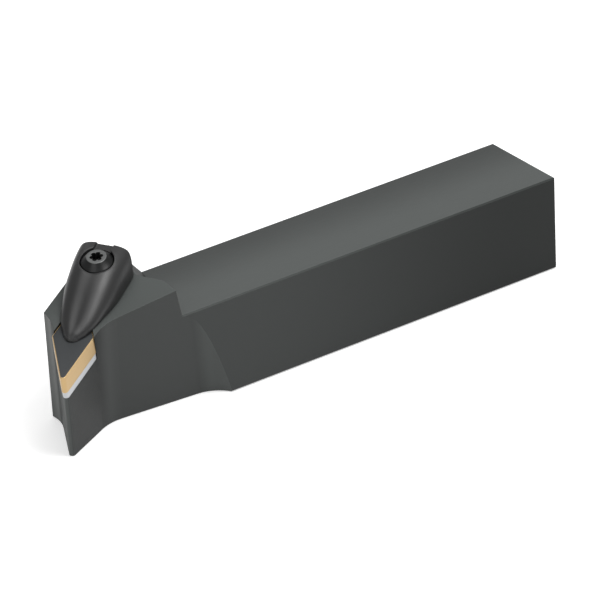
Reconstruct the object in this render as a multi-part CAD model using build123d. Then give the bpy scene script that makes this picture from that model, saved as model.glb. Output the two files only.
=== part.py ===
from build123d import *
import os
from math import cos, hypot, pi, radians, sin, sqrt, tan

# ---------------------------------------------------------------------------
# Turning tool holder, right hand, for a 35 degree rhombic insert.
# Millimetres. The origin lies on the base, half way across the shank and half
# way along its gripped length. +X points to the cutting end, +Y to the side on
# which the cutting nose stands out, +Z is up.
# ---------------------------------------------------------------------------

# shank
shank_width = 25.0
shank_height = 25.0
overall_length = 150.0          # rear face to cutting nose
reference_from_rear = 50.0      # rear face to the origin
edge_break = 0.35               # small chamfer round the shank's edges
head_root = 8.0                 # the head's block runs this far into the shank

# cutting point
nose_offset = 32.0              # far side of the shank to the cutting nose
cutting_height = 25.0           # base to the cutting nose
insert_tilt = 14.75             # degrees that the insert dips towards its nose
bisector_angle = 45.0           # degrees from +X to the line from insert centre to nose

# insert
insert_angle = 35.0
insert_circle = 9.525           # inscribed circle
insert_thickness = 4.76
insert_hole = 3.81
insert_hole_chamfer = 0.35
nose_radius = 0.8
corner_relief = 1.12            # radius of the hole at the inner end of the insert's seat

# shim under the insert
shim_thickness = 2.0
shim_inset = 0.12               # the shim stands this far inside the insert's outline

# shim screw, countersunk
shim_screw_head = 5.2
shim_screw_shank = 3.0
shim_screw_length = 9.0
shim_screw_drop = 0.25          # head below the shim's top face
shim_screw_socket = 2.2
shim_screw_socket_depth = 0.9
shim_screw_rim = 0.3            # straight rim above the countersunk cone
shim_screw_hole_extra = 1.0
screw_clearance = 0.05

# head of the holder
head_height = 35.0              # the head's blank, base to top
rim_height = 0.6                # head's top above the insert's top face
side_relief_lean = 6.6          # degrees, face below the insert on the near side
end_relief_lean = 2.3           # degrees, face below the insert at the end
relief_inset = 0.25             # relief faces inside the insert's outline at the seat
near_wall_angle = 4.7           # degrees between the near wall and the shank
near_wall_step = 4.55           # near side of the shank to the near wall, at its rear end
near_wall_back = 44.5           # nose to the rear end of the near wall
recess_radius = 9.0             # where the near wall runs out into the shank's side
wall_to_relief_radius = 12.0
front_corner_back = 11.9        # nose to the front corner, at the base
front_corner_in = 7.3           # far side of the shank to the front corner, at the base
front_face_angle = 7.6          # degrees between the front face and the XZ normal
front_face_lean = 6.8
front_relief_radius = 10.0

# back of the raised head
ramp_slope = 50.0
ramp_near_back = 38.6           # nose to the foot of the ramp at the near side
ramp_far_back = 43.8            # nose to the foot of the ramp at the far side
lobe_lean = 16.0                # degrees, rear face of the raised head on the near side
lobe_length_in = 3.3            # near side of the shank to the lobe's corner
lobe_skew = 31.6                # degrees, lobe's inner face from the Y direction
lobe_corner_radius = 2.0

# clamp
clamp_turn = 10.5               # degrees between the clamp and the insert's bisector
clamp_screw_back = 18.3         # insert hole to clamp screw
clamp_half_width = 7.05
clamp_side_radius = 25.2        # plan radius of the clamp's flanks
clamp_nose_reach = 2.5          # insert hole to the point where the flanks would meet
clamp_nose_radius = 2.0
clamp_tail = 6.0                # clamp screw to the rear face of the clamp
clamp_tail_radius = 2.6
clamp_gap = 0.3                 # clamp's underside above the head's top
clamp_ridges = (                # insert hole to a section, ridge height there, trough depth there
    (2.4, 0.95, 0.02),
    (-4.5, 3.55, 0.3),
    (-12.5, 6.4, 0.5),
    (-20.5, 8.6, 0.6),
    (-24.5, 7.8, 0.6),
)
clamp_flank_share = 0.28        # share of the height up to which the flank stands upright
clamp_shoulder = (0.84, 0.72)   # middle of the shoulder: shares of the half width and of the height
clamp_ridge_place = 0.46        # ridge from the middle, as a share of the half width
clamp_land = 0.12               # flanks stand this far out before the plan outline trims them
clamp_counterbore = 8.3
clamp_counterbore_floor = 5.2
clamp_screw_hole = 5.6
clamp_pad_radius = 3.3
clamp_finger = 3.2              # diameter of the finger that enters the insert's hole
clamp_finger_depth = 1.6
clamp_finger_gap = 0.05         # finger to the back of the insert's hole
clamp_heel = 2.4                # length of the foot at the clamp's tail
contact_gap = 0.02              # left between pieces that press on each other
overlap = 0.4                   # added shapes run this far into what they join
tail_slot_width = 4.4
tail_slot_floor = 7.6           # above the insert's top face

# clamp screw
screw_shank = 5.0
screw_head = 7.7
screw_face = 4.5                # flat ring round the socket
screw_face_height = 9.1         # above the insert's top face
screw_cone_height = 1.6
screw_length_below = 13.0       # below the insert's top face
screw_socket = 3.1
screw_socket_depth = 2.2
screw_tip_chamfer = 0.6
socket_shares = (0.36, 0.37, 0.13)      # core, place of the lobes and lobe size, by socket size
thread_hole_extra = 3.0         # hole below the screw's end

# lift spring round the clamp screw
spring_outside = 8.0
spring_wire = 0.9
spring_turns = 3.5
spring_steps = 16               # straight steps in one turn of the coil
spring_pocket = 8.6
spring_pocket_depth = 5.0       # below the head's top
spring_recess_depth = 1.4       # up into the clamp

# ---------------------------------------------------------------------------
# places worked out from the sizes
# ---------------------------------------------------------------------------
prism_low = -3.0                # leaning blocks run from below the base to above the head
prism_high = 45.0
run_past = 60.0                 # cutting shapes run this far past the solids
rear_x = -reference_from_rear
nose_x = overall_length - reference_from_rear
far_y = -shank_width / 2
near_y = shank_width / 2
nose_y = far_y + nose_offset
half_angle = radians(insert_angle / 2)
tilt = radians(insert_tilt)
bisector = radians(bisector_angle)

# directions of the insert: towards the nose, across it, and up from its face
towards = Vector(cos(tilt) * cos(bisector), cos(tilt) * sin(bisector), -sin(tilt))
upward = Vector(sin(tilt) * cos(bisector), sin(tilt) * sin(bisector), cos(tilt))
across = upward.cross(towards)

# centre of the nose radius, then the middle of the insert's top face
nose_centre = Vector(
    nose_x - nose_radius * hypot(towards.X, across.X),
    nose_y - nose_radius * hypot(towards.Y, across.Y),
    cutting_height,
)
half_length = insert_circle / 2 / sin(half_angle)
nose_to_centre = half_length - nose_radius / sin(half_angle)
insert_centre = nose_centre - towards * nose_to_centre
insert_plane = Plane(origin=insert_centre, x_dir=towards, z_dir=upward)

# the clamp's plane has the insert's face, turned about the insert's hole
turn = radians(clamp_turn)
clamp_plane = Plane(
    origin=insert_centre,
    x_dir=towards * cos(turn) - across * sin(turn),
    z_dir=upward,
)

seat_depth = insert_thickness + shim_thickness
seat_z = cutting_height - seat_depth * cos(tilt)
seat_nose = nose_centre - upward * seat_depth
wall_slope = Vector(upward.X / upward.Z, upward.Y / upward.Z)   # plan shift of a wall per mm of height


# ---------------------------------------------------------------------------
# leaning walls of the head, each a line in plan that moves out with height
# ---------------------------------------------------------------------------
def wall(normal_angle, point, point_z, lean):
    """A leaning face: plan normal, one point that it passes, and its shift per mm of height."""
    normal = Vector(cos(radians(normal_angle)), sin(radians(normal_angle)))
    return normal, normal.X * point[0] + normal.Y * point[1] - lean * point_z, lean


def along_insert(normal_angle):
    """The lean of a wall that stands square to the insert's face."""
    return wall_slope.X * cos(radians(normal_angle)) + wall_slope.Y * sin(radians(normal_angle))


def corner(first, second, z):
    """Where two leaning faces meet at height z."""
    (a, a0, a1), (b, b0, b1) = first, second
    a_offset = a0 + a1 * z
    b_offset = b0 + b1 * z
    cross = a.X * b.Y - a.Y * b.X
    return ((a_offset * b.Y - b_offset * a.Y) / cross, (a.X * b_offset - b.X * a_offset) / cross)


def leaning_prism(walls, z_low, z_high):
    """A solid between two heights whose sides are leaning faces, taken in order round it."""
    pairs = list(zip(walls, walls[1:] + walls[:1]))
    low = [Vector(*corner(a, b, z_low), z_low) for a, b in pairs]
    high = [Vector(*corner(a, b, z_high), z_high) for a, b in pairs]
    count = len(walls)
    faces = [Face(Wire.make_polygon(ring, close=True)) for ring in (low, high)]
    for i in range(count):
        j = (i + 1) % count
        quad = [low[i], low[j], high[j], high[i]]
        faces.append(Face(Wire.make_polygon(quad, close=True)))
    return Solid(Shell(faces))


def edge_between(solid, first, second, z_low, z_high):
    """The edge of a leaning prism where two of its faces meet."""
    middle_z = (z_low + z_high) / 2
    middle = Vector(*corner(first, second, middle_z), middle_z)
    return solid.edges().sort_by_distance(middle)[0]


side_normal = bisector_angle + 90 - insert_angle / 2      # plan normal of the near relief face
end_normal = bisector_angle - 90 + insert_angle / 2       # plan normal of the end relief face
near_normal = 90 - near_wall_angle
far_normal = side_normal - 180


def relief_point(normal_angle):
    """A point of a relief face at the seat, just inside the insert's outline."""
    reach = nose_radius - relief_inset
    return (
        seat_nose.X + reach * cos(radians(normal_angle)),
        seat_nose.Y + reach * sin(radians(normal_angle)),
    )


near_wall_point = (nose_x - near_wall_back, near_y - near_wall_step)
front_corner = (nose_x - front_corner_back, far_y + front_corner_in)
near_wall = wall(near_normal, near_wall_point, 0, along_insert(near_normal))
side_relief = wall(side_normal, relief_point(side_normal), seat_z, tan(radians(side_relief_lean)))
end_relief = wall(end_normal, relief_point(end_normal), seat_z, tan(radians(end_relief_lean)))
front_face = wall(front_face_angle, front_corner, 0, tan(radians(front_face_lean)))
far_face = wall(far_normal, front_corner, 0, along_insert(far_normal))
beyond_far = wall(-90, (0, far_y - head_root / 2), 0, 0)
inside_shank = wall(180, (nose_x - ramp_far_back - head_root, 0), 0, 0)


def side_recess():
    """What the cutter takes from the shank's near side, up to the near wall."""
    back_x = near_wall_point[0] + recess_radius * sin(radians(near_wall_angle)) - recess_radius
    back = wall(0, (back_x, 0), 0, wall_slope.X)
    outside = wall(90, (0, near_y + run_past), 0, 0)
    front = wall(0, (nose_x + run_past, 0), 0, 0)
    sides = [back, near_wall, front, outside]
    solid = leaning_prism(sides, prism_low, prism_high)
    return fillet(edge_between(solid, back, near_wall, prism_low, prism_high), recess_radius)


def head_block():
    """The head's leaning walls, from below the base to above the head's top."""
    sides = [near_wall, side_relief, end_relief, front_face, far_face, beyond_far, inside_shank]
    solid = leaning_prism(sides, prism_low, prism_high)
    low, high = prism_low, prism_high
    solid = fillet(edge_between(solid, near_wall, side_relief, low, high), wall_to_relief_radius)
    solid = fillet(edge_between(solid, end_relief, front_face, low, high), front_relief_radius)
    return fillet(edge_between(solid, side_relief, end_relief, low, high), nose_radius)


def ramp_cutter():
    """The space above the shank, back from the ramp that climbs to the raised head."""
    foot_far = Vector(nose_x - ramp_far_back, far_y, shank_height)
    foot_near = Vector(nose_x - ramp_near_back, near_y, shank_height)
    line = (foot_near - foot_far).normalized()
    forward = Vector(line.Y, -line.X, 0)
    section = Plane(origin=foot_far - line * run_past, x_dir=forward, z_dir=-line)
    height = prism_high - shank_height
    run = height / tan(radians(ramp_slope))
    outline = Polyline((0, 0), (run, height), (-run_past, height), (-run_past, 0), close=True)
    return extrude(section * make_face(outline), -(shank_width + 2 * run_past))


def lobe():
    """The part of the raised head that stands further back on the near side."""
    lean = tan(radians(lobe_lean))
    rear = wall(180, (nose_x - ramp_near_back, 0), shank_height, -lean)
    lobe_corner = (nose_x - ramp_near_back, near_y - lobe_length_in)
    inner = wall(180 + lobe_skew, lobe_corner, shank_height, -lean * cos(radians(lobe_skew)))
    front = wall(0, (nose_x, 0), 0, 0)
    outside = wall(90, (0, near_y + run_past), 0, 0)
    low, high = shank_height - lobe_length_in, prism_high
    solid = leaning_prism([rear, inner, front, outside], low, high)
    return fillet(edge_between(solid, rear, inner, low, high), lobe_corner_radius)


def insert_outline(inset=0.0):
    """The rhombus of the insert, with its corners rounded."""
    circle = insert_circle - 2 * inset
    long_half = circle / 2 / sin(half_angle)
    short_half = circle / 2 / cos(half_angle)
    ring = Polyline((long_half, 0), (0, short_half), (-long_half, 0), (0, -short_half), close=True)
    face = make_face(ring)
    return fillet(face.vertices(), nose_radius)


def pocket():
    """The seat: two walls along the insert's rear flanks, open towards the nose."""
    side = run_past * tan(half_angle)
    mouth = run_past - half_length
    sector = make_face(Polyline((-half_length, 0), (mouth, side), (mouth, -side), close=True))
    relief = Pos(-half_length + nose_radius / sin(half_angle), 0) * Circle(corner_relief)
    return extrude(insert_plane * Pos(0, 0, -seat_depth) * (sector + relief), run_past)


def clamp_axis(z):
    """A place on the clamp screw's axis, z above the insert's top face."""
    return clamp_plane * Pos(-clamp_screw_back, 0, z)


def cylinder_up(place, radius, height):
    """A cylinder that stands on a place."""
    return place * Cylinder(radius, height, align=(Align.CENTER, Align.CENTER, Align.MIN))


def lobed_socket(size, depth):
    """A six-lobed drive recess, sunk from z = 0."""
    core, lobe_place, lobe_size = (size * share for share in socket_shares)
    shape = Circle(core) + PolarLocations(lobe_place, 6) * Circle(lobe_size)
    return extrude(shape, -depth)


def broken_edges():
    """Square bars turned by 45 degrees that break the shank's four long edges."""
    bar = edge_break * sqrt(2)
    ends = (
        (far_y, shank_height, nose_x - ramp_far_back),
        (near_y, shank_height, nose_x - ramp_near_back),
        (far_y, 0, nose_x),
        (near_y, 0, near_wall_point[0]),
    )
    return [
        Pos(rear_x, y, z) * Rot(45, 0, 0) * Box(
            end_x - rear_x, bar, bar, align=(Align.MIN, Align.CENTER, Align.CENTER)
        )
        for y, z, end_x in ends
    ]


def holder_body():
    grip = Pos(rear_x, 0, 0) * Box(
        nose_x - ramp_far_back + head_root - rear_x, shank_width, shank_height,
        align=(Align.MIN, Align.CENTER, Align.MIN),
    )
    grip = chamfer(grip.faces().sort_by(Axis.X)[0].edges(), edge_break)
    grip -= side_recess()
    envelope = Pos(rear_x, far_y, 0) * Box(
        2 * overall_length, 2 * nose_offset, head_height, align=(Align.MIN, Align.MIN, Align.MIN)
    )
    head = head_block() & envelope
    head -= ramp_cutter() - lobe()
    head -= insert_plane * Pos(0, 0, rim_height) * Box(
        2 * run_past, 2 * run_past, run_past, align=(Align.CENTER, Align.CENTER, Align.MIN)
    )
    head -= Pos(nose_x - ramp_near_back, near_y, shank_height) * Box(
        run_past, run_past, 2 * shank_height, align=(Align.MAX, Align.MIN, Align.MAX)
    )
    body = grip + head
    body -= broken_edges()
    body -= pocket()
    body -= cylinder_up(
        insert_plane * Pos(0, 0, -seat_depth - shim_screw_length),
        shim_screw_shank / 2 + screw_clearance, shim_screw_length + overlap,
    )
    hole_bottom = -screw_length_below - thread_hole_extra
    body -= cylinder_up(clamp_axis(hole_bottom), screw_shank / 2 + screw_clearance, run_past)
    body -= cylinder_up(clamp_axis(rim_height - spring_pocket_depth), spring_pocket / 2, run_past)
    return body


def insert():
    body = extrude(insert_outline(), -insert_thickness)
    body -= Cylinder(insert_hole / 2, 3 * insert_thickness)
    rims = body.edges().filter_by(GeomType.CIRCLE).filter_by(
        lambda edge: abs(edge.radius - insert_hole / 2) < 0.01
    )
    return insert_plane * chamfer(rims, insert_hole_chamfer)


def countersunk_profile(head, shank, length, grow=0.0):
    """Half section of a countersunk screw, or of its hole when grown."""
    head_radius = head / 2 + grow
    shank_radius = shank / 2 + grow
    cone = head_radius - shank_radius
    return make_face(Polyline(
        (0, 0), (head_radius, 0), (head_radius, -shim_screw_rim), (shank_radius, -shim_screw_rim - cone),
        (shank_radius, -length), (0, -length), close=True,
    ))


def shim():
    body = extrude(insert_outline(shim_inset), -shim_thickness)
    profile = countersunk_profile(shim_screw_head, shim_screw_shank, run_past, screw_clearance)
    body -= Pos(0, 0, -shim_screw_drop) * revolve(Plane.XZ * profile, Axis.Z)
    body -= cylinder_up(Pos(0, 0, -shim_screw_drop), shim_screw_head / 2 + screw_clearance, overlap)
    return insert_plane * Pos(0, 0, -insert_thickness) * body


def shim_screw():
    length = shim_thickness - shim_screw_drop + shim_screw_length - shim_screw_hole_extra
    profile = Plane.XZ * countersunk_profile(shim_screw_head, shim_screw_shank, length)
    body = revolve(profile, Axis.Z)
    body -= extrude(RegularPolygon(shim_screw_socket / 2, 6, major_radius=False), -shim_screw_socket_depth)
    return insert_plane * Pos(0, 0, -insert_thickness - shim_screw_drop) * body


widest_x = clamp_nose_reach - sqrt(
    clamp_side_radius ** 2 - (clamp_side_radius - clamp_half_width) ** 2
)


def clamp_width_at(x):
    """Half width of the clamp's plan at a distance from the insert's hole."""
    if x < widest_x:
        return clamp_half_width
    reach = sqrt(clamp_side_radius ** 2 - (x - widest_x) ** 2)
    return reach - clamp_side_radius + clamp_half_width


def clamp_outline():
    """Plan of the clamp; the flanks are two arcs that would meet past the nose."""
    tail_x = -clamp_screw_back - clamp_tail
    tip = (clamp_nose_reach, 0)
    middle_x = (clamp_nose_reach + widest_x) / 2
    middle_y = clamp_width_at(middle_x)
    ring = ThreePointArc(tip, (middle_x, middle_y), (widest_x, clamp_half_width))
    ring += Polyline(
        (widest_x, clamp_half_width), (tail_x, clamp_half_width),
        (tail_x, -clamp_half_width), (widest_x, -clamp_half_width),
    )
    ring += ThreePointArc((widest_x, -clamp_half_width), (middle_x, -middle_y), tip)
    face = make_face(ring)
    face = fillet(face.vertices().sort_by(Axis.X)[-1], clamp_nose_radius)
    return fillet(face.vertices().sort_by(Axis.X)[:2], clamp_tail_radius)


def clamp_section(x, height, trough, under):
    """Section across the clamp: upright flanks, round shoulders, two ridges with a trough between."""
    half = max(clamp_width_at(x), clamp_nose_radius) + clamp_land
    rise = height - under
    foot, crest = (half, under), (half * clamp_ridge_place, height)
    turn_over = (half, under + rise * clamp_flank_share)
    middle = (half * clamp_shoulder[0], under + rise * clamp_shoulder[1])
    section = Line(foot, turn_over) + ThreePointArc(turn_over, middle, crest)
    section += ThreePointArc(crest, (0, height - trough), (-crest[0], height))
    section += ThreePointArc((-crest[0], height), (-middle[0], middle[1]), (-half, turn_over[1]))
    section += Polyline((-half, turn_over[1]), (-half, under), foot)
    return Plane.YZ.offset(x) * make_face(section)


def clamp():
    under = rim_height + clamp_gap
    body = loft([clamp_section(x, height, trough, under) for x, height, trough in clamp_ridges])
    body &= extrude(clamp_outline(), run_past)
    pad = extrude(clamp_outline() & Circle(clamp_pad_radius), under + overlap)
    body += Pos(0, 0, contact_gap) * pad
    finger_x = clamp_finger_gap - (insert_hole - clamp_finger) / 2
    finger_foot = Pos(finger_x, 0, -clamp_finger_depth)
    body += cylinder_up(finger_foot, clamp_finger / 2, clamp_finger_depth + under + overlap)
    body += Pos(-clamp_screw_back - clamp_tail, 0, rim_height + contact_gap) * Box(
        clamp_heel, 2 * (clamp_half_width - clamp_tail_radius), clamp_gap + overlap,
        align=(Align.MIN, Align.CENTER, Align.MIN),
    )
    hole = Pos(-clamp_screw_back, 0, 0)
    body -= hole * Cylinder(clamp_screw_hole / 2, run_past)
    body -= cylinder_up(hole * Pos(0, 0, clamp_counterbore_floor), clamp_counterbore / 2, run_past)
    body -= cylinder_up(hole, spring_pocket / 2, under + spring_recess_depth)
    body -= hole * Pos(0, 0, tail_slot_floor) * Box(
        run_past, tail_slot_width, run_past, align=(Align.MAX, Align.CENTER, Align.MIN)
    )
    return clamp_plane * body


def clamp_screw():
    head = screw_head / 2
    shank = screw_shank / 2
    cone_foot = screw_face_height - screw_cone_height
    under_head = clamp_counterbore_floor + contact_gap
    profile = make_face(Polyline(
        (0, screw_face_height),
        (screw_face / 2, screw_face_height),
        (head, cone_foot),
        (head, under_head),
        (shank, under_head),
        (shank, screw_tip_chamfer - screw_length_below),
        (shank - screw_tip_chamfer, -screw_length_below),
        (0, -screw_length_below),
        close=True,
    ))
    body = revolve(Plane.XZ * profile, Axis.Z)
    body -= Pos(0, 0, screw_face_height) * lobed_socket(screw_socket, screw_socket_depth)
    return clamp_plane * Pos(-clamp_screw_back, 0, 0) * body


def clamp_spring():
    low = rim_height - spring_pocket_depth + spring_wire / 2 + contact_gap
    high = rim_height + clamp_gap + spring_recess_depth - spring_wire / 2 - contact_gap
    radius = (spring_outside - spring_wire) / 2
    count = round(spring_turns * spring_steps)
    path = Polyline(*[
        (
            radius * cos(2 * pi * i / spring_steps),
            radius * sin(2 * pi * i / spring_steps),
            (high - low) * i / count,
        )
        for i in range(count + 1)
    ])
    section = Plane(origin=path @ 0, z_dir=path % 0) * RegularPolygon(spring_wire / 2, 6)
    return clamp_axis(low) * sweep(section, path, transition=Transition.RIGHT)


parts = {
    "holder_body": holder_body,
    "shim": shim,
    "shim_screw": shim_screw,
    "insert": insert,
    "clamp": clamp,
    "clamp_screw": clamp_screw,
    "clamp_spring": clamp_spring,
}

os.makedirs("parts", exist_ok=True)
for name, make in parts.items():
    piece = make()
    piece.label = name
    export_step(piece, f"parts/{name}.step")
    box = piece.bounding_box()
    print(name, "volume", round(piece.volume, 1), "mm3, box", box.min, box.max)
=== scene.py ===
# %% [markdown]
# # Turning tool holder
# A square steel shank carries a raised, angled head. A slim rhombic insert sits in the head on a
# shim, and a ridged clamp with one screw holds it down. The solids come from the CAD frame. This
# lesson gives them their finishes, rebuilds the clamp, the screw and the insert with softer forms,
# and then sets the studio round them.

# %% Load the frame
from math import cos, exp, hypot, pi, radians, sin, sqrt

import bmesh
import bpy
from mathutils import Matrix, Vector


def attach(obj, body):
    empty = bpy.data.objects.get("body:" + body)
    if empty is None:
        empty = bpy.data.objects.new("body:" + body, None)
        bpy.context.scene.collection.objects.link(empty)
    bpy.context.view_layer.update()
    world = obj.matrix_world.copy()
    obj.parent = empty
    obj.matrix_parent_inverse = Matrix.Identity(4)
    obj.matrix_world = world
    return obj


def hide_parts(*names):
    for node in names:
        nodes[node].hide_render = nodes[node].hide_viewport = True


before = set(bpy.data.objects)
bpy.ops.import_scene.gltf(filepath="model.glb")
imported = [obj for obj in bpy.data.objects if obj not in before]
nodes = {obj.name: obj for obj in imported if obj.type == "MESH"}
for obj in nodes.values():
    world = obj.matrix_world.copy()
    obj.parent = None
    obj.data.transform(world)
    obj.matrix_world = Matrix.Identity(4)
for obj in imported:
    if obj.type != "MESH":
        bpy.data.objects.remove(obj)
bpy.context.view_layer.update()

# %% [markdown]
# ## Where the cutting end sits
# The insert dips by 14.75 degrees towards its nose, and its long diagonal points 45 degrees off the
# shank. The clamp shares the insert's face and is turned about the insert's hole. Both pieces could
# be modelled flat and turned as objects, but a finished object has to stay at the origin. So each
# one is modelled flat, in millimetres, and one matrix puts its mesh in place at the end.

# %% The insert's frame and the clamp's frame
MM = 0.001
DIP, HEADING, CLAMP_TURN = radians(14.75), radians(45), radians(10.5)
UP = Vector((sin(DIP) * cos(HEADING), sin(DIP) * sin(HEADING), cos(DIP)))
TO_NOSE = Vector((cos(DIP) * cos(HEADING), cos(DIP) * sin(HEADING), -sin(DIP)))
SEAT = Vector((90.2023, 9.7024, 28.3550)) * MM          # middle of the insert's top face


def flat_frame(forward):
    """Takes flat millimetres to the model: x forward, z off the insert's face."""
    side = UP.cross(forward)
    turned = Matrix((forward, side, UP)).transposed().to_4x4()
    return Matrix.Translation(SEAT) @ turned @ Matrix.Scale(MM, 4)


INSERT_FRAME = flat_frame(TO_NOSE)
CLAMP_FRAME = flat_frame(Matrix.Rotation(-CLAMP_TURN, 3, UP) @ TO_NOSE)
print("insert's up direction:", [round(v, 4) for v in UP])

# %% [markdown]
# ## Building with nodes
# Every finish here is a Principled shader with a few nodes in front of it. Each node could be
# made, set and linked in three lines, but most of them are small sums of the same few kinds. So
# each kind gets a helper, which takes numbers and other nodes alike.


# %% A node, its values and what feeds it
def add(tree, kind, **settings):
    """A node with its settings given by name."""
    node = tree.nodes.new(kind)
    for key, value in settings.items():
        setattr(node, key, value)
    return node


def set_values(node, **values):
    """Plain values on a node's sockets; an underscore in a name stands for a space."""
    for key, value in values.items():
        node.inputs[key.replace("_", " ")].default_value = value


def feed(tree, source, socket):
    """Gives a socket its value: a link from another node, or a plain number or vector."""
    if isinstance(source, bpy.types.NodeSocket):
        tree.links.new(source, socket)
    else:
        socket.default_value = source


# %% A sum as a node
def arithmetic(tree, operation, *sources):
    """A Math node."""
    node = add(tree, "ShaderNodeMath", operation=operation)
    for source, socket in zip(sources, node.inputs):
        feed(tree, source, socket)
    return node.outputs[0]


# %% [markdown]
# ## The finish of hardened steel
# Tool steel is ground, hardened and blackened. Up close it has a fine grain, fainter clouds where
# the blackening took differently, and a slightly brighter line where handling has rubbed the
# edges. Each material could have its own nodes for this, but every steel piece has all three, only
# in its own strength, so they go into one node group with a socket for each strength.

# %% Node group: its sockets
FINISH_SOCKETS = (
    ("Colour", "Color", (0.05, 0.05, 0.05, 1)),
    ("Rubbed Colour", "Color", (0.2, 0.2, 0.2, 1)),
    ("Rubbed", "Float", 0.4),
    ("Roughness", "Float", 0.4),
    ("Roughness Spread", "Float", 0.1),
    ("Grain Size", "Float", 0.4),                       # in millimetres
    ("Grain Stretch", "Float", 1.0),                    # below one, the grain runs along the shank
    ("Bump", "Float", 0.1),
    ("Cloud", "Float", 0.06),
)
group = bpy.data.node_groups.new("steel finish", "ShaderNodeTree")
for name, kind, value in FINISH_SOCKETS:
    socket = group.interface.new_socket(
        name=name, in_out="INPUT", socket_type="NodeSocket" + kind,
    )
    socket.default_value = value
for name, kind in (("Colour", "Color"), ("Roughness", "Float"), ("Normal", "Vector")):
    group.interface.new_socket(name=name, in_out="OUTPUT", socket_type="NodeSocket" + kind)
given = add(group, "NodeGroupInput").outputs
result = add(group, "NodeGroupOutput").inputs
print("steel finish takes", ", ".join(name for name, _, _ in FINISH_SOCKETS))

# %% [markdown]
# The grain and the clouds are two noises of very different size. A grinding wheel leaves lines
# along the shank: they could be a stretched image, but it is enough to squeeze the place that the
# fine noise reads, so that the grain comes out long.

# %% Node group: grain and clouds
MM_IN_A_METRE, CLOUDS_IN_A_METRE = 1000.0, 70.0
place = add(group, "ShaderNodeTexCoord").outputs["Object"]
stretch = add(group, "ShaderNodeCombineXYZ")
set_values(stretch, Y=1.0, Z=1.0)
group.links.new(given["Grain Stretch"], stretch.inputs["X"])
squeezed = add(group, "ShaderNodeVectorMath", operation="MULTIPLY")
group.links.new(place, squeezed.inputs[0])
group.links.new(stretch.outputs["Vector"], squeezed.inputs[1])

grain = add(group, "ShaderNodeTexNoise")
set_values(grain, Detail=4.0, Roughness=0.6)
group.links.new(squeezed.outputs["Vector"], grain.inputs["Vector"])
grains_in_a_metre = arithmetic(group, "DIVIDE", MM_IN_A_METRE, given["Grain Size"])
group.links.new(grains_in_a_metre, grain.inputs["Scale"])
grain_signed = arithmetic(group, "SUBTRACT", grain.outputs["Fac"], 0.5)

cloud = add(group, "ShaderNodeTexNoise")
set_values(cloud, Scale=CLOUDS_IN_A_METRE, Detail=2.0)
group.links.new(place, cloud.inputs["Vector"])
cloud_signed = arithmetic(group, "SUBTRACT", cloud.outputs["Fac"], 0.5)
print("grain and clouds:", len(group.nodes), "nodes so far")

# %% [markdown]
# Handling rubs the blackening off the edges first. The edges could be picked by hand as faces, but
# the Bevel node finds them by itself: it rounds the shading there, and where its normal bends away
# from the true one there is an edge. The clouds make the rubbed line patchy.


# %% How far two directions agree, and a fade from one value to another
def agreement(tree, one, other):
    """How far two directions agree: one where they are the same, and less as they part."""
    node = add(tree, "ShaderNodeVectorMath", operation="DOT_PRODUCT")
    feed(tree, one, node.inputs[0])
    feed(tree, other, node.inputs[1])
    return node.outputs["Value"]


def fade(tree, source, over, to, easing="SMOOTHSTEP"):
    """Goes from to[0] to to[1] while the source goes over a stretch, and holds beyond it."""
    node = add(tree, "ShaderNodeMapRange", interpolation_type=easing)
    set_values(node, From_Min=over[0], From_Max=over[1], To_Min=to[0], To_Max=to[1])
    feed(tree, source, node.inputs["Value"])
    return node.outputs["Result"]


# %% Node group: rubbed edges
EDGE_RADIUS = 0.22 * MM
EDGE_STARTS, EDGE_FULL = 0.995, 0.93                    # agreement of the two normals
rounded = add(group, "ShaderNodeBevel", samples=6)
set_values(rounded, Radius=EDGE_RADIUS)
true_normal = add(group, "ShaderNodeNewGeometry").outputs["Normal"]
bend = agreement(group, rounded.outputs["Normal"], true_normal)
edge = fade(group, bend, over=(EDGE_STARTS, EDGE_FULL), to=(0.0, 1.0), easing="LINEAR")
rubbed = arithmetic(group, "MULTIPLY", edge, given["Rubbed"])
patchy = arithmetic(group, "MULTIPLY_ADD", cloud_signed, 2.0, 0.9)
rubbed = arithmetic(group, "MULTIPLY", rubbed, patchy)
print("edges rounded by", round(EDGE_RADIUS / MM, 2), "mm")

# %% [markdown]
# The colour takes the clouds first and the rubbed edges over them. Both noises spread the
# roughness, so a highlight breaks up a little, and the grain alone gives the relief. A real
# displacement would need millions of faces for this, so a Bump node does it.

# %% Scale and mix colours
MIX_SOCKETS = {"FLOAT": ((0, 2, 3), 0), "RGBA": ((0, 6, 7), 2)}      # a Mix node's ins and its out


def scaled(tree, vector, factor):
    """A colour or vector times a number."""
    node = add(tree, "ShaderNodeVectorMath", operation="SCALE")
    feed(tree, vector, node.inputs[0])
    feed(tree, factor, node.inputs["Scale"])
    return node.outputs["Vector"]


def mix(tree, kind, share, first, second):
    """Blends two numbers or two colours."""
    node = add(tree, "ShaderNodeMix", data_type=kind)
    places, out = MIX_SOCKETS[kind]
    for place, source in zip(places, (share, first, second)):
        feed(tree, source, node.inputs[place])
    return node.outputs[out]


# %% Node group: colour, roughness and relief
RELIEF_DEPTH = 0.04 * MM
cloud_tone = arithmetic(group, "MULTIPLY_ADD", cloud_signed, given["Cloud"], 1.0)
clouded = scaled(group, given["Colour"], cloud_tone)
colour = mix(group, "RGBA", rubbed, clouded, given["Rubbed Colour"])
group.links.new(colour, result["Colour"])

spread = given["Roughness Spread"]
uneven = arithmetic(group, "MULTIPLY_ADD", grain_signed, spread, given["Roughness"])
uneven = arithmetic(group, "MULTIPLY_ADD", cloud_signed, spread, uneven)
group.links.new(uneven, result["Roughness"])

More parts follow.
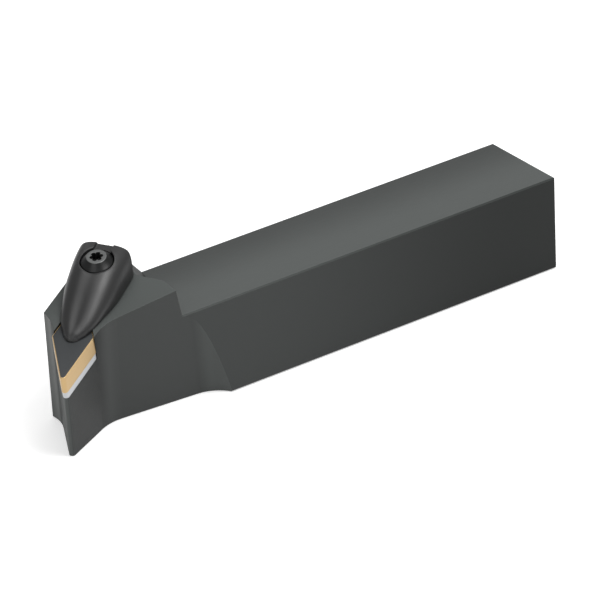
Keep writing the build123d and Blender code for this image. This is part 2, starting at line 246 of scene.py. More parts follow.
relief = add(group, "ShaderNodeBump")
set_values(relief, Distance=RELIEF_DEPTH)
group.links.new(given["Bump"], relief.inputs["Strength"])
group.links.new(grain.outputs["Fac"], relief.inputs["Height"])
group.links.new(rounded.outputs["Normal"], relief.inputs["Normal"])
group.links.new(relief.outputs["Normal"], result["Normal"])
STEEL_FINISH = group
print("steel finish has", len(group.nodes), "nodes")

# %% [markdown]
# ## One call for each metal
# Each metal of this tool, blackened, bare or coated, is one material: the group for what changes
# over the surface, and plain numbers on the shader for what doesn't. They could be copied from one
# another and changed, but a helper keeps the values of each in one call.


# %% A steel material from the group
def new_material(name):
    """An empty node material, its node tree and its Principled shader."""
    material = bpy.data.materials.new(name)
    material.use_nodes = True
    tree = material.node_tree
    return material, tree, tree.nodes["Principled BSDF"]


def steel(name, colour, metallic, specular, **finish_values):
    """Blackened, bright or coated metal in its own strength of the group's finish."""
    material, tree, shader = new_material(name)
    finish = add(tree, "ShaderNodeGroup", node_tree=STEEL_FINISH, name="finish")
    set_values(finish, Colour=(*colour, 1), **finish_values)
    tree.links.new(finish.outputs["Colour"], shader.inputs["Base Color"])
    tree.links.new(finish.outputs["Roughness"], shader.inputs["Roughness"])
    tree.links.new(finish.outputs["Normal"], shader.inputs["Normal"])
    set_values(shader, Metallic=metallic, Specular_IOR_Level=specular)
    return material


# %% [markdown]
# ## The bar's blackening, with painted light and shade
# The shank and the head are one bar, blackened with a slightly green cast, with fine grinding
# lines along it. Light and shade are painted into its colour: the sides are painted paler towards
# the cutting end, and the tops paler towards the worked side. Faces that look back along the bar
# get painted shade, and those that look forwards get painted light. More lamps could give this, but
# they would change the other pieces too. So the painted tone follows the place on the bar and the
# direction of each face.

# %% Holder steel, and what its nodes know of a point
BAR_SHINE = 0.28
holder_steel = steel(
    "holder steel", (0.034, 0.0375, 0.0362), 0.0, BAR_SHINE, Rubbed=0.2,
    Rubbed_Colour=(0.11, 0.117, 0.114, 1), Roughness=0.42, Roughness_Spread=0.1, Grain_Size=0.5,
    Grain_Stretch=0.12, Bump=0.05, Cloud=0.1,
)
bar = holder_steel.node_tree
bar_place = add(bar, "ShaderNodeSeparateXYZ")
bar.links.new(add(bar, "ShaderNodeTexCoord").outputs["Object"], bar_place.inputs[0])
facing = add(bar, "ShaderNodeNewGeometry").outputs["Normal"]
bar_normal = add(bar, "ShaderNodeSeparateXYZ")
bar.links.new(facing, bar_normal.inputs[0])
along_bar, across_bar = bar_place.outputs["X"], bar_place.outputs["Y"]
forwards, upwards = bar_normal.outputs["X"], bar_normal.outputs["Z"]
print("holder steel starts with", len(bar.nodes), "nodes")

# %% Painted shade of the sides and painted light on the tops
PAINTED_SHADE_FROM, PAINTED_SHADE_TO = -40 * MM, 50 * MM                 # along the shank
# Painted shade: the sides get darker towards the back of the shank and on faces that look back, and
# painted light goes on faces that look forwards.
painted_shade_along_bar = fade(bar, along_bar, over=(PAINTED_SHADE_FROM, PAINTED_SHADE_TO), to=(0.5, 0.93))
painted_shade_facing_back = fade(bar, forwards, over=(-0.45, -0.1), to=(0.5, 1.0))
painted_light_facing_forwards = fade(bar, forwards, over=(0.15, 0.5), to=(1.0, 1.75))
side_painted_shade = arithmetic(bar, "MULTIPLY", painted_shade_along_bar, painted_shade_facing_back)
side_painted_shade = arithmetic(bar, "MULTIPLY", side_painted_shade, painted_light_facing_forwards)
# Painted light: the tops get lighter towards the worked side.
top_painted_light = fade(bar, across_bar, over=(-12.5 * MM, 6 * MM), to=(1.0, 1.9))
is_top = fade(bar, upwards, over=(0.55, 0.9), to=(0.0, 1.0))
painted_tone = mix(bar, "FLOAT", is_top, side_painted_shade, top_painted_light)
finish, shader = bar.nodes["finish"], bar.nodes["Principled BSDF"]
# The bar's colour is multiplied by this painted light and shade.
painted_colour = scaled(bar, finish.inputs["Colour"].default_value[:3], painted_tone)
bar.links.new(painted_colour, finish.inputs["Colour"])
print("sides grow paler over", round((PAINTED_SHADE_TO - PAINTED_SHADE_FROM) / MM, 1), "mm of the shank")

# %% [markdown]
# On the sides the shine follows the painted shade, so a spot painted darker also shines less. Two
# facets, the end relief and the back slope of the head, stay matt: at a low angle they would mirror
# the lamps as bright sheets. They could have a material of their own, but a CAD node wears one
# material on all its faces, so the matt facets are found by the way they face.

# %% Shine of the sides, the tops and the two matt facets
MATT_FACETS = ((0.887, -0.461, 0.0), (-0.75, 0.156, 0.643))      # end relief, back slope
# On the sides the shine is taken from the painted shade.
side_shine = fade(bar, side_painted_shade, over=(0.0, 1.0), to=(0.0, BAR_SHINE), easing="LINEAR")
top_shine = fade(bar, upwards, over=(0.88, 0.955), to=(0.08, BAR_SHINE))
shine = mix(bar, "FLOAT", is_top, side_shine, top_shine)
matt = [
    fade(bar, agreement(bar, facing, facet), over=(0.93, 0.99), to=(1.0, 0.06))
    for facet in MATT_FACETS
]
shine = arithmetic(bar, "MULTIPLY", shine, arithmetic(bar, "MULTIPLY", *matt))
bar.links.new(shine, shader.inputs["Specular IOR Level"])
print("holder steel ends with", len(bar.nodes), "nodes")


# %% Dress the holder
def dress(node_name, material):
    """Gives a CAD node one material on all its faces."""
    mesh = nodes[node_name].data
    mesh.materials.clear()
    mesh.materials.append(material)
    print(node_name, "wears", material.name)


dress("holder_body", holder_steel)

# %% [markdown]
# ## Finishes of the shim and the parts under the insert
# The shim is bare ground carbide, much lighter than the bar and with a cooler shine. The shim
# screw and the lift spring are almost hidden. They could share the holder's steel, but one catches
# light in the hole and the other under the clamp, so they are plain dark steel and bright wire.

# %% Dress the shim, its screw and the spring
dress("shim", steel(
    "shim carbide", (0.5, 0.51, 0.53), 0.35, 0.5, Rubbed_Colour=(0.6, 0.6, 0.6, 1), Rubbed=0.5,
    Roughness=0.3, Roughness_Spread=0.12, Grain_Size=0.25, Bump=0.06,
))
dress("shim_screw", steel(
    "shim screw steel", (0.03, 0.031, 0.032), 0.0, 0.5, Rubbed_Colour=(0.14, 0.14, 0.14, 1),
    Roughness=0.36, Grain_Size=0.2,
))
dress("clamp_spring", steel(
    "spring steel", (0.3, 0.3, 0.3), 0.9, 0.5, Rubbed_Colour=(0.4, 0.4, 0.4, 1), Rubbed=0.1,
    Roughness=0.3, Grain_Size=0.2,
))

# %% [markdown]
# ## The clamp's form
# The real clamp is forged: a drop-shaped body with two rounded ridges that run from the insert's
# hole up to the tail. Its form could be drawn as curves, but a few numbers are easier to tune. So
# short tables hold what changes along it, in millimetres from the insert's hole: the ridges'
# height, the trough between them, how much the flanks are pulled in, the lower edge, and how square
# the arch across it is. The plan outline is two large arcs, a round nose and two rounded corners at
# the tail.

# %% Measures of the clamp
SCREW_X = -18.3                                          # screw axis from the insert's hole
TAIL_X, TAIL_CORNER, TAIL_ROUNDING = -24.3, 2.6, 0.5
SIDE_RADIUS, HALF_WIDTH, REACH = 25.2, 7.05, 3.0
NOSE_RADIUS = 2.0
UNDER = 0.9                                              # underside above the insert's face
CREST = (
    (-24.5, 8.05), (-20.5, 8.55), (-17.0, 8.75), (-12.5, 7.7), (-8.5, 5.9), (-4.5, 4.05),
    (0.0, 1.95), (2.2, 1.2),
)
TROUGH = ((-24.5, 0.0), (-18.5, 0.1), (-14.0, 0.55), (-5.0, 0.6), (-1.0, 0.4), (1.0, 0.0))
TROUGH_WIDTH = 0.34                                      # share of the half width
LEAN = ((-20.0, 0.0), (-14.0, 0.35), (-9.0, 0.7), (-6.0, 0.65), (-3.6, 0.2), (-2.4, 0.0))
SKIRT = ((-6.5, 0.9), (-0.6, 0.06))                      # lower edge, down to the insert
SQUARE = ((-24.5, 3.4), (-21.0, 3.0), (-17.0, 2.4), (-13.0, 2.1), (2.6, 1.95))
print("clamp is", round(2 * HALF_WIDTH, 1), "mm wide at most")


# %% Reading a table
def along(table, x):
    """A value on the straight line between two points of a table."""
    if x <= table[0][0]:
        return table[0][1]
    for (x0, y0), (x1, y1) in zip(table, table[1:]):
        if x <= x1:
            return y0 + (y1 - y0) * (x - x0) / (x1 - x0)
    return table[-1][1]


def smooth_along(table, x, reach=2.2):
    """The same, averaged over a few millimetres each way, so that no kink shows."""
    steps = [along(table, x + reach * k / 4) for k in range(-4, 5)]
    return sum(steps) / len(steps)


print("ridges are", round(smooth_along(CREST, SCREW_X), 2), "mm high beside the screw")

# %% Plan outline
flank_centre_y = SIDE_RADIUS - HALF_WIDTH
WIDEST_X = REACH - sqrt(SIDE_RADIUS ** 2 - flank_centre_y ** 2)
NOSE_X = WIDEST_X + sqrt((SIDE_RADIUS - NOSE_RADIUS) ** 2 - flank_centre_y ** 2)
NOSE_SLOPE = flank_centre_y / (NOSE_X - WIDEST_X)        # line through where the arcs touch


def half_width(x):
    """Half the clamp's width at a distance from the insert's hole."""
    if x >= REACH:
        return 0.0
    beyond = max(x - WIDEST_X, 0.0)
    return sqrt(SIDE_RADIUS ** 2 - beyond ** 2) - flank_centre_y - smooth_along(LEAN, x)


def inside(x, y):
    """True inside the clamp's plan outline."""
    y = abs(y)
    if x < TAIL_X or y > half_width(x):
        return False
    corner_x, corner_y = TAIL_X + TAIL_CORNER, HALF_WIDTH - TAIL_CORNER
    if x < corner_x and y > corner_y:
        return hypot(x - corner_x, y - corner_y) < TAIL_CORNER
    if y < NOSE_SLOPE * (x - NOSE_X):
        return hypot(x - NOSE_X, y) < NOSE_RADIUS
    return True


# %% Distance to the outline
def reach_of(angle):
    """Distance from the screw axis to the outline in one direction, found by halving."""
    near, far = 0.0, 40.0
    for _ in range(40):
        middle = (near + far) / 2
        if inside(SCREW_X + middle * cos(angle), middle * sin(angle)):
            near = middle
        else:
            far = middle
    return near


print("the nose's tip is", round(SCREW_X + reach_of(0.0), 2), "mm past the insert's hole")


# %% Height of the lower edge and of the top
LEAST_WIDTH = 0.7                                        # keeps the arch whole at the very tip
RIM = 0.1                                                # share of the height that is upright wall


def foot_height(x):
    """The clamp's lower edge."""
    return smooth_along(SKIRT, x, 0.8)


def tail_drop(x):
    """How far the top falls where the rear face rolls into it."""
    edge = min(max(0.0, TAIL_ROUNDING - (x - TAIL_X)), TAIL_ROUNDING)
    return TAIL_ROUNDING - sqrt(TAIL_ROUNDING ** 2 - edge ** 2)


def top_height(x, y):
    """The clamp's top: a squarish arch, less a trough along the middle."""
    width = max(half_width(x), LEAST_WIDTH)
    across = min(abs(y) / width, 1.0)
    beyond = max(x - NOSE_X, 0.0) / NOSE_RADIUS          # the nose is rounded like a fingertip
    share = min((across ** 3 + beyond ** 3) ** (1 / 3), 1.0)
    power = smooth_along(SQUARE, x)
    arch = (1 - share ** power) ** (1 / power)
    foot = foot_height(x)
    top = foot + (smooth_along(CREST, x) - foot) * (RIM + (1 - RIM) * arch)
    return top - smooth_along(TROUGH, x) * exp(-(across / TROUGH_WIDTH) ** 2) - tail_drop(x)


print("top beside the screw is", round(top_height(SCREW_X, 3.5), 2), "mm high")

# %% [markdown]
# ## Growing a mesh ring by ring
# A box with a subdivision surface could give the clamp's soft shape, but the round counterbore
# would pull at it. Here the mesh grows outwards from the bore instead: one circle is extruded ring
# after ring, and each ring is moved to its own line. The bore stays round and every face is a
# quad. The clamp's screw grows in the same way.


# %% A ring of vertices
def only_verts(geometry):
    """The vertices in what a bmesh operator gives back."""
    return [item for item in geometry if isinstance(item, bmesh.types.BMVert)]


def ring_edges(maker, ring):
    """The edges between neighbours in a closed ring of vertices."""
    return [maker.edges.get(pair) for pair in zip(ring, ring[1:] + ring[:1])]


def move(ring, points):
    """Each vertex of a ring to its own point."""
    for vert, point in zip(ring, points):
        vert.co = point


# %% Extrude ring after ring
def partner(vert, fresh):
    """The extruded twin of a vertex, at the other end of one of its edges."""
    return next(e.other_vert(vert) for e in vert.link_edges if e.other_vert(vert) in fresh)


def grow(rings):
    """A circle from bmesh, extruded ring after ring; its first and last rings come with it."""
    maker = bmesh.new()
    first = bmesh.ops.create_circle(maker, segments=len(rings[0]), radius=1.0)["verts"]
    move(first, rings[0])
    ring = first
    for points in rings[1:]:
        made = bmesh.ops.extrude_edge_only(maker, edges=ring_edges(maker, ring))["geom"]
        fresh = set(only_verts(made))
        ring = [partner(vert, fresh) for vert in ring]
        move(ring, points)
    return maker, first, ring


# %% Measure a mesh, and place a ring
def open_edges(maker):
    """How many edges have a face on one side only; none on a closed shape."""
    return sum(edge.is_boundary for edge in maker.edges)


def plan_places(directions, distances):
    """Places round the screw's axis, one in each direction at its own distance."""
    return [
        (SCREW_X + distance * cos(angle), distance * sin(angle))
        for angle, distance in zip(directions, distances)
    ]


# %% [markdown]
# ## The clamp
# It starts at the foot of its bore, goes up the bore and across the counterbore's floor, up the
# wall and over a small rounded lip, out over the ridges to the outline, and back underneath to
# where it began. Evenly spaced rays would leave the nose coarse, so more of them point that way,
# and the rings crowd towards the outline, where the top turns down.

# %% Rays from the screw to the outline
RAYS, CROWDED_TO_NOSE = 192, 0.74
even_rays = [2 * pi * (i + 0.5) / RAYS - pi for i in range(RAYS)]
clamp_rays = [ray - CROWDED_TO_NOSE * sin(ray) for ray in even_rays]
outline = [reach_of(angle) for angle in clamp_rays]
print("outline reaches", round(min(outline), 2), "to", round(max(outline), 2), "mm from the screw")


# %% Rings of the clamp
BORE, COUNTERBORE, LIP = 2.8, 4.15, 4.4                  # radii


def level_ring(distances, z):
    """A ring at one height."""
    return [Vector((x, y, z)) for x, y in plan_places(clamp_rays, distances)]


def ring_below_top(distances, drop=0.0):
    """A ring that follows the top, or runs a little below it."""
    places = plan_places(clamp_rays, distances)
    return [Vector((x, y, top_height(x, y) - drop)) for x, y in places]


def top_ring(share, drop=0.0):
    """A ring part of the way from the counterbore's lip to the outline."""
    return ring_below_top([LIP + (reach - LIP) * share for reach in outline], drop)


def skirt_ring(inset, lift=0.0):
    """A ring along the outline, at the clamp's lower edge."""
    places = plan_places(clamp_rays, [reach - inset for reach in outline])
    return [Vector((x, y, foot_height(x) + lift)) for x, y in places]


# %% Grow the clamp from its bore
COUNTERBORE_FLOOR, BORE_CHAMFER = 5.2, 0.2
TOP_RINGS, CROWDED_TO_EDGE = 26, 2.1
bore, bore_mouth, wall = ([radius] * RAYS for radius in (BORE, BORE + BORE_CHAMFER, COUNTERBORE))
rings = [level_ring(bore, UNDER), level_ring(bore, COUNTERBORE_FLOOR - BORE_CHAMFER)]
rings += [level_ring(bore_mouth, COUNTERBORE_FLOOR), level_ring(wall, COUNTERBORE_FLOOR)]
rings += [ring_below_top(wall, 0.35), ring_below_top(wall, 0.12)]
rings += [top_ring(0.0, 0.06), top_ring(0.015)]
rings += [top_ring(1 - (1 - k / TOP_RINGS) ** CROWDED_TO_EDGE) for k in range(1, TOP_RINGS)]
rings += [top_ring(0.9995), skirt_ring(0.0, 0.05), skirt_ring(0.06), skirt_ring(0.25)]
rings += [level_ring([reach - 0.4 for reach in outline], UNDER)]
clamp_mesh, first, last = grow(rings)
both_ends = ring_edges(clamp_mesh, first) + ring_edges(clamp_mesh, last)
bmesh.ops.bridge_loops(clamp_mesh, edges=both_ends)
print("clamp:", len(clamp_mesh.verts), "vertices, open edges:", open_edges(clamp_mesh))

# %% [markdown]
# ## The notch in the tail
# A straight notch runs along the middle of the clamp, from its tail to the counterbore. It cuts
# across the rings, so shaping them to it would bend the whole mesh. A Boolean modifier cuts it
# instead, and the cutter is a block with bevelled edges, so that the notch's floor meets its walls
# in a small radius.

# %% An object in the scene, a mesh from a bmesh
def in_scene(name, data):
    """A new object in the scene, at the origin."""
    thing = bpy.data.objects.new(name, data)
    bpy.context.scene.collection.objects.link(thing)
    return thing


def mesh_from(maker, name):
    """A mesh made of a bmesh, which is used up."""
    mesh = bpy.data.meshes.new(name)
    maker.to_mesh(mesh)
    maker.free()
    return mesh


# %% Carve one shape from another
WELD = 0.0005                                            # vertices closer than this become one


def carve(maker, cutter):
    """Takes one closed bmesh from another with a Boolean modifier, and gives back a new bmesh."""
    things = []
    for name, source in (("carved", maker), ("cutter", cutter)):
        bmesh.ops.recalc_face_normals(source, faces=source.faces)
        things.append(in_scene(name, mesh_from(source, name)))
    carved, knife = things
    cut = carved.modifiers.new("cut", "BOOLEAN")
    cut.operation, cut.solver, cut.object = "DIFFERENCE", "EXACT", knife
    after_cut = carved.evaluated_get(bpy.context.evaluated_depsgraph_get())
    mesh = bpy.data.meshes.new_from_object(after_cut)
    left_over = bmesh.new()
    left_over.from_mesh(mesh)
    for used in (carved.data, knife.data, mesh):
        bpy.data.meshes.remove(used)                     # its object goes with it
    bmesh.ops.remove_doubles(left_over, verts=left_over.verts, dist=WELD)
    return left_over


# %% Cut the notch
NOTCH_HALF, NOTCH_FLOOR, NOTCH_RADIUS = 2.2, 7.4, 0.3
notch_low = Vector((-30, -NOTCH_HALF, NOTCH_FLOOR))      # runs out past the tail and the top
notch_high = Vector((SCREW_X, NOTCH_HALF, 14))
notch = bmesh.new()
bmesh.ops.create_cube(notch, size=1.0)
bmesh.ops.scale(notch, vec=notch_high - notch_low, verts=notch.verts)
bmesh.ops.translate(notch, vec=(notch_low + notch_high) / 2, verts=notch.verts)
bmesh.ops.bevel(
    notch, geom=notch.edges[:], offset=NOTCH_RADIUS, offset_type="OFFSET", affect="EDGES",
    segments=4, profile=0.5, material=-1,
)
clamp_mesh = carve(clamp_mesh, notch)
print("clamp after the cut:", len(clamp_mesh.verts), "vertices")

# %% [markdown]
# ## The finger under the nose
# The clamp pulls the insert back into its pocket by a short finger that stands in the insert's
# hole, against its rear wall. It could be grown down from the nose, but its foot is hidden, so a
# small turned shape that overlaps the nose is enough. It is added to the same mesh.

# %% A turned shape, and the finger
HOLE_RADIUS, FINGER_RADIUS, FINGER_CHAMFER = 1.905, 1.6, 0.25
FINGER_FOOT, FINGER_ROOT = -1.6, 1.1                     # heights from the insert's face
FINGER_X = 0.05 - (HOLE_RADIUS - FINGER_RADIUS)          # 0.05 mm off the hole's rear wall


def turn(maker, x, profile, count=64):
    """A turned shape: radius and height pairs, spun about an upright axis at x."""
    points = [maker.verts.new((x + radius, 0, z)) for radius, z in profile]
    line = [maker.edges.new(pair) for pair in zip(points, points[1:])]
    bmesh.ops.spin(
        maker, geom=points + line, cent=(x, 0, 0), axis=(0, 0, 1), angle=2 * pi, steps=count,
        use_merge=True,
    )
    bmesh.ops.remove_doubles(maker, verts=maker.verts, dist=WELD)


turn(clamp_mesh, FINGER_X, (
    (0.0, FINGER_FOOT), (FINGER_RADIUS - FINGER_CHAMFER, FINGER_FOOT),
    (FINGER_RADIUS, FINGER_FOOT + FINGER_CHAMFER), (FINGER_RADIUS, FINGER_ROOT),
    (0.0, FINGER_ROOT),
))
print("with the finger:", len(clamp_mesh.verts), "vertices")

# %% [markdown]
# ## From a flat mesh to a piece
# A new piece is always placed, smoothed up to a sharp angle and tied to its body, and stands for
# one CAD solid. It could be placed by its object's own matrix, but then a pattern on Object
# coordinates would turn with it, so the mesh itself moves.


# %% Finish a piece
def finish_piece(name, maker, place, node_name, body, slot, *materials, sharp=32):
    """Turns a flat bmesh into a placed piece that stands for a CAD node."""
    bmesh.ops.recalc_face_normals(maker, faces=maker.faces)
    maker.transform(place)
    mesh = mesh_from(maker, name)
    for polygon in mesh.polygons:
        polygon.use_smooth = True
    mesh.set_sharp_from_angle(angle=radians(sharp))
    for material in materials:
        mesh.materials.append(material)
    piece = in_scene(name, mesh)
    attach(piece, body)
    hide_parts(node_name)
    print(name, "has", len(mesh.polygons), "faces")


# %% [markdown]
# ## The clamp's steel
# The clamp is blacker than the bar, without its green cast, and shines more, so that its ridges
# catch a line of light. It could wear the bar's steel, but then the two would run together. It
# takes the same node group with darker values, a finer grain and no stretch.

# %% Clamp steel
clamp_steel = steel(
    "clamp steel", (0.019, 0.0192, 0.0194), 0.0, 0.5, Rubbed_Colour=(0.1, 0.1, 0.1, 1),
    Rubbed=0.2, Roughness=0.4, Roughness_Spread=0.08, Grain_Size=0.3, Bump=0.05, Cloud=0.1,
)
finish_piece(
    "clamp_forged", clamp_mesh, CLAMP_FRAME, "clamp", "top_clamp", "clamp_steel", clamp_steel,
)

# %% [markdown]
# ## The clamp screw
# A turned screw: a six-lobed socket in a flat ground face, a cone, a short rim and the shank. The
# socket could be a Boolean cut, but that leaves loose triangles round it. Grown ring by ring from
# the socket's floor, the first rings follow six lobes and the later ones are round. The thread is
# out of sight, so ring grooves stand for its helix.

# %% Measures of the screw
SCREW_RAYS = 120
SCREW_FACE = 9.1                                         # height above the insert's face
LOBES, LOBE_ROOT, LOBE_DEPTH, LOBE_FATNESS = 6, 1.05, 0.56, 0.6
SOCKET = ((-0.9, -2.3), (0.0, -2.2), (0.0, -0.1), (0.03, -0.03), (0.1, 0.0), (0.16, 0.0))
HEAD = (
    (2.2, SCREW_FACE), (2.28, SCREW_FACE), (2.36, SCREW_FACE - 0.03), (2.42, SCREW_FACE - 0.09),
    (3.66, 7.68), (3.78, 7.6), (3.85, 7.5), (3.85, 5.32), (3.75, 5.22), (2.6, 5.22), (2.5, 5.12),
)
SHANK, GROOVE, GROOVES, PITCH = 2.5, 2.28, 15, 0.8
FIRST_GROOVE, GROOVE_RISE = -1.5, 0.3
TIP = ((SHANK, -12.5), (2.0, -12.98))
screw_rays = [2 * pi * i / SCREW_RAYS for i in range(SCREW_RAYS)]
print("screw is", round(SCREW_FACE - TIP[-1][1], 2), "mm long")


# %% Round and lobed rings
def round_ring(radius, z):
    """A round ring of the screw."""
    return [Vector((x, y, z)) for x, y in plan_places(screw_rays, [radius] * SCREW_RAYS)]


def lobed_ring(wider, z):
    """Six fat lobes with narrow ribs between them."""
    lobes = [LOBE_DEPTH * abs(cos(LOBES / 2 * ray)) ** LOBE_FATNESS for ray in screw_rays]
    distances = [LOBE_ROOT + lobe + wider for lobe in lobes]
    return [Vector((x, y, z)) for x, y in plan_places(screw_rays, distances)]


# %% Grow the screw from the floor of its socket
rings = [lobed_ring(wider, SCREW_FACE + z) for wider, z in SOCKET]
rings += [round_ring(radius, z) for radius, z in HEAD]
for groove in range(GROOVES):
    z = FIRST_GROOVE - PITCH * groove
    rings += [round_ring(SHANK, z + GROOVE_RISE), round_ring(GROOVE, z)]
rings += [round_ring(radius, z) for radius, z in TIP]
screw_mesh, first, last = grow(rings)
for ring in (first, last):
    bmesh.ops.contextual_create(screw_mesh, geom=ring_edges(screw_mesh, ring))
print("screw:", len(screw_mesh.verts), "vertices, open edges:", open_edges(screw_mesh))

# %% [markdown]
# ## The screw's two finishes
# The screw is black all over but for its face, which was ground bright after blackening. A second
# piece for the face would leave a seam, so the mesh takes two materials and each face picks one by
# where it lies. The walls of the socket stay black.

# %% Screw steel and its ground face
screw_black = steel(
    "screw steel", (0.009, 0.0095, 0.0095), 0.0, 0.3, Rubbed_Colour=(0.09, 0.09, 0.09, 1),
    Rubbed=0.3, Roughness=0.32, Roughness_Spread=0.08, Grain_Size=0.2, Bump=0.05,
)
screw_ground = steel(
    "screw ground face", (0.12, 0.124, 0.123), 0.3, 0.5, Rubbed_Colour=(0.2, 0.2, 0.2, 1),
    Rubbed=0.3, Roughness=0.36, Roughness_Spread=0.08, Grain_Size=0.15, Bump=0.03,
)

# %% Which faces were ground
BLACK, GROUND = 0, 1
FACE_DEPTH, SOCKET_RIM = 0.12, 1.12
for face in screw_mesh.faces:
    middle = face.calc_center_median()
    from_axis = hypot(middle.x - SCREW_X, middle.y)
    on_face = middle.z > SCREW_FACE - FACE_DEPTH and from_axis > SOCKET_RIM
    face.material_index = GROUND if on_face else BLACK
finish_piece(
    "clamp_screw_turned", screw_mesh, CLAMP_FRAME, "clamp_screw", "screw", "screw_steel",
    screw_black, screw_ground,
)

# %% [markdown]
# ## The insert
# A sintered carbide rhombus with a 35 degree nose and a plain hole. Its outline could be a sharp
# rhombus with bevelled corners, but a bevel only comes near an arc. So each corner is a single
# vertex spun about the corner's centre, and four straight edges join the arcs.

# %% Measures of the insert
HALF_ANGLE = radians(17.5)
IN_RADIUS, CORNER, THICK = 4.7625, 0.8, 4.76
SHARP_STEPS, BLUNT_STEPS = 16, 5
half_length, half_breadth = IN_RADIUS / sin(HALF_ANGLE), IN_RADIUS / cos(HALF_ANGLE)
sharp_x = half_length - CORNER / sin(HALF_ANGLE)
blunt_y = half_breadth - CORNER / cos(HALF_ANGLE)
corners = (                              # centre, direction it points, half its arc and steps
    (sharp_x, 0.0, 0.0, pi / 2 - HALF_ANGLE, SHARP_STEPS),
    (0.0, blunt_y, pi / 2, HALF_ANGLE, BLUNT_STEPS),
    (-sharp_x, 0.0, pi, pi / 2 - HALF_ANGLE, SHARP_STEPS),
    (0.0, -blunt_y, 3 * pi / 2, HALF_ANGLE, BLUNT_STEPS),
)
print("insert is", round(2 * (sharp_x + CORNER), 2), "mm long")

# %% Spin the corners and join them
insert_mesh = bmesh.new()
ends = []
for x, y, heading, spread, steps in corners:
    start = heading - spread
    seed = insert_mesh.verts.new((x + CORNER * cos(start), y + CORNER * sin(start), 0))
    arc_end = bmesh.ops.spin(
        insert_mesh, geom=[seed], cent=(x, y, 0), axis=(0, 0, 1), angle=2 * spread, steps=steps,
    )["geom_last"]
    ends.append((seed, only_verts(arc_end)[0]))
for (_, left), (entered, _) in zip(ends, ends[1:] + ends[:1]):
    insert_mesh.edges.new((left, entered))
bmesh.ops.contextual_create(insert_mesh, geom=insert_mesh.edges[:])
print("insert outline:", len(insert_mesh.verts), "points")

# %% [markdown]
# The face goes down by the insert's thickness, and its top rim gets the small hone that keeps a
# carbide edge from chipping. The hole's chamfers could be bevelled too, but a turned cutter with
# the chamfers in its profile makes the hole and both chamfers in one cut.

# %% Depth and honed edge
HONE = 0.22
top_rim = insert_mesh.edges[:]
sunk = bmesh.ops.extrude_face_region(insert_mesh, geom=insert_mesh.faces[:])["geom"]
bmesh.ops.translate(insert_mesh, vec=(0, 0, -THICK), verts=only_verts(sunk))
print("caps after the extrusion:", sum(len(f.verts) > 4 for f in insert_mesh.faces))
bmesh.ops.recalc_face_normals(insert_mesh, faces=insert_mesh.faces)
bmesh.ops.bevel(
    insert_mesh, geom=top_rim, offset=HONE, offset_type="OFFSET", affect="EDGES", segments=5,
    profile=0.5, material=-1,
)

# %% The hole
HOLE_CHAMFER, PAST = 0.05, 1.0                           # PAST: how far the cutter runs out
mouth = HOLE_RADIUS + HOLE_CHAMFER
hole_cutter = bmesh.new()
turn(hole_cutter, 0.0, (
    (0.0, PAST), (mouth + PAST, PAST), (mouth, 0.0), (HOLE_RADIUS, -HOLE_CHAMFER),
    (HOLE_RADIUS, HOLE_CHAMFER - THICK), (mouth, -THICK), (mouth + PAST, -THICK - PAST),
    (0.0, -THICK - PAST),
), 72)
insert_mesh = carve(insert_mesh, hole_cutter)
print("insert:", len(insert_mesh.faces), "faces, open edges:", open_edges(insert_mesh))

# %% [markdown]
# ## The insert's two coatings
# The whole insert was coated gold, and the top was blasted dark afterwards, so gold shows on the
# flanks and again on the honed edge. The dark could be painted by height in one material, but the
# honed edge rolls down from the same height, so each face picks its coating: dark where it is flat
# on top or in the hole, and gold elsewhere.

# %% Gold flanks and a dark top
gold = steel(
    "gold coating", (0.52, 0.355, 0.165), 0.5, 0.5, Rubbed_Colour=(0.8, 0.62, 0.38, 1),
    Rubbed=0.5, Roughness=0.34, Roughness_Spread=0.1, Grain_Size=0.12, Bump=0.06, Cloud=0.12,
)
dark_coating = steel(
    "dark coating", (0.03, 0.033, 0.035), 0.0, 0.4, Rubbed_Colour=(0.3, 0.24, 0.16, 1),
    Rubbed=0.1, Roughness=0.4, Roughness_Spread=0.12, Grain_Size=0.1, Bump=0.1,
)

# %% Which faces are dark
GOLD, DARK = 0, 1
HOLE_REGION = 2.3                                        # nothing but the hole is this near
for face in insert_mesh.faces:
    middle = face.calc_center_median()
    on_top = middle.z > -WELD and abs(face.normal.z) > 0.99
    in_hole = hypot(middle.x, middle.y) < HOLE_REGION
    face.material_index = DARK if on_top or in_hole else GOLD
finish_piece(
    "insert_coated", insert_mesh, INSERT_FRAME, "insert", "holder", "insert_coating",
    gold, dark_coating, sharp=14,
)

# %% [markdown]
# ## Floor and surroundings
# A studio sweep could be modelled as a curved sheet, but one large flat floor is enough when it
# also serves as the backdrop. It is white to the camera and in reflections. That comes from a glow
# which only those rays see, so it throws no light about, and the floor still takes a soft shadow.

# %% Floor
maker = bmesh.new()
bmesh.ops.create_grid(maker, x_segments=1, y_segments=1, size=6.0)
floor = in_scene("floor", mesh_from(maker, "floor"))
floor.location.z = -0.2 * MM
print("floor lies at", round(floor.location.z / MM, 2), "mm")

# %% Floor paint
FLOOR, FLOOR_GLOW, WHITE = 0.8, 0.45, (1, 1, 1, 1)
floor_paint, floor_tree, floor_shader = new_material("floor paint")
rays = add(floor_tree, "ShaderNodeLightPath").outputs
seen = rays["Is Camera Ray"]
for kind in ("Is Glossy Ray", "Is Transmission Ray"):
    seen = arithmetic(floor_tree, "MAXIMUM", seen, rays[kind])
glow = arithmetic(floor_tree, "MULTIPLY", seen, FLOOR_GLOW)
floor_tree.links.new(glow, floor_shader.inputs["Emission Strength"])
set_values(
    floor_shader, Base_Color=(FLOOR, FLOOR, FLOOR, 1), Roughness=0.9, Emission_Color=WHITE,
)
floor.data.materials.append(floor_paint)
print("floor reflects", FLOOR, "and glows", FLOOR_GLOW)

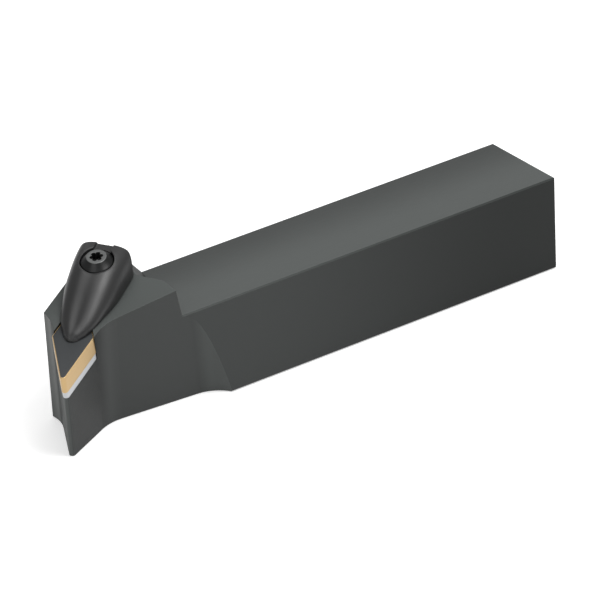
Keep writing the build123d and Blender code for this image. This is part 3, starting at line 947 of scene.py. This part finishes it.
# %% World
WORLD = 0.32
world = bpy.data.worlds.new("studio")
world.use_nodes = True
set_values(world.node_tree.nodes["Background"], Color=WHITE, Strength=WORLD)
bpy.context.scene.world = world
print("world light", WORLD)

# %% [markdown]
# ## Softboxes
# Dark satin steel shows its form only through what it mirrors. Point lamps would leave hard spots,
# so the light comes from large softboxes, mainly from above: tops are light, sides are dark, and
# the ridges of the clamp catch a line. A weak fill opens the front, and a strip on the far side
# draws the edges there.

# %% Four area lights
BOXES = (                                # name, place, aim, size and power
    ("key", (-0.09, 0.36, 0.65), (0.05, 0, 0.03), (0.4, 0.4), 3.35),
    ("overhead", (0.05, 0.05, 0.8), (0.03, 0, 0.02), (0.7, 0.7), 2.8),
    ("front fill", (0.75, 0.35, 0.45), (0.05, 0, 0.02), (0.5, 0.5), 1.2),
    ("far strip", (-0.28, -0.45, 0.3), (0.02, 0, 0.025), (0.6, 0.2), 0.29),
)
for name, place, aim, size, power in BOXES:
    box = bpy.data.lights.new(name, "AREA")
    box.shape = "RECTANGLE"
    box.size, box.size_y = size
    box.energy = power
    lamp = in_scene(name, box)
    lamp.location = place
    lamp.rotation_mode = "QUATERNION"
    lamp.rotation_quaternion = (Vector(aim) - Vector(place)).to_track_quat("-Z", "Y")
    print(name, "at", place, "with", power, "W")

# %% [markdown]
# ## Camera
# A small tool is best seen from the front and a little above, through a long lens that keeps its
# edges nearly parallel. The camera could be aimed with a constraint, but it is also rolled by a
# few degrees, so its three axes are worked out and given as one matrix. Its distance is counted in
# sides of the square shank.

# %% Camera
SHANK_SIDE = 0.025
AZIMUTH, ELEVATION, ROLL = radians(55.451), radians(28.034), radians(-2.628)
BACKWARDS, RIGHTWARDS, UPWARDS = 52.6498, -1.9633, -0.6833      # in sides of the shank
LENS_PIXELS, FRAME_PIXELS, SENSOR = 5238.7563, 600, 36
back = Vector((cos(ELEVATION) * cos(AZIMUTH), cos(ELEVATION) * sin(AZIMUTH), sin(ELEVATION)))
level_right = Vector((0, 0, 1)).cross(back).normalized()
level_up = back.cross(level_right)
right = level_right * cos(ROLL) + level_up * sin(ROLL)
up = level_up * cos(ROLL) - level_right * sin(ROLL)
steps_off = back * BACKWARDS + right * RIGHTWARDS + up * UPWARDS
place = Vector((-0.05, -0.0125, 0)) + steps_off * SHANK_SIDE

camera_data = bpy.data.cameras.new("camera")
camera_data.sensor_width = SENSOR
camera_data.lens = LENS_PIXELS * SENSOR / FRAME_PIXELS
camera_data.clip_start, camera_data.clip_end = 0.1, 20
camera = in_scene("camera", camera_data)
camera.matrix_world = Matrix.Translation(place) @ Matrix((right, up, back)).transposed().to_4x4()
bpy.context.scene.camera = camera
print("camera at", [round(v, 3) for v in place])

# %% [markdown]
# ## View
# A filmic view would look softer, but it also shifts every colour that was chosen above, so the
# view stays Standard.

# %% View
bpy.context.scene.view_settings.view_transform = "Standard"
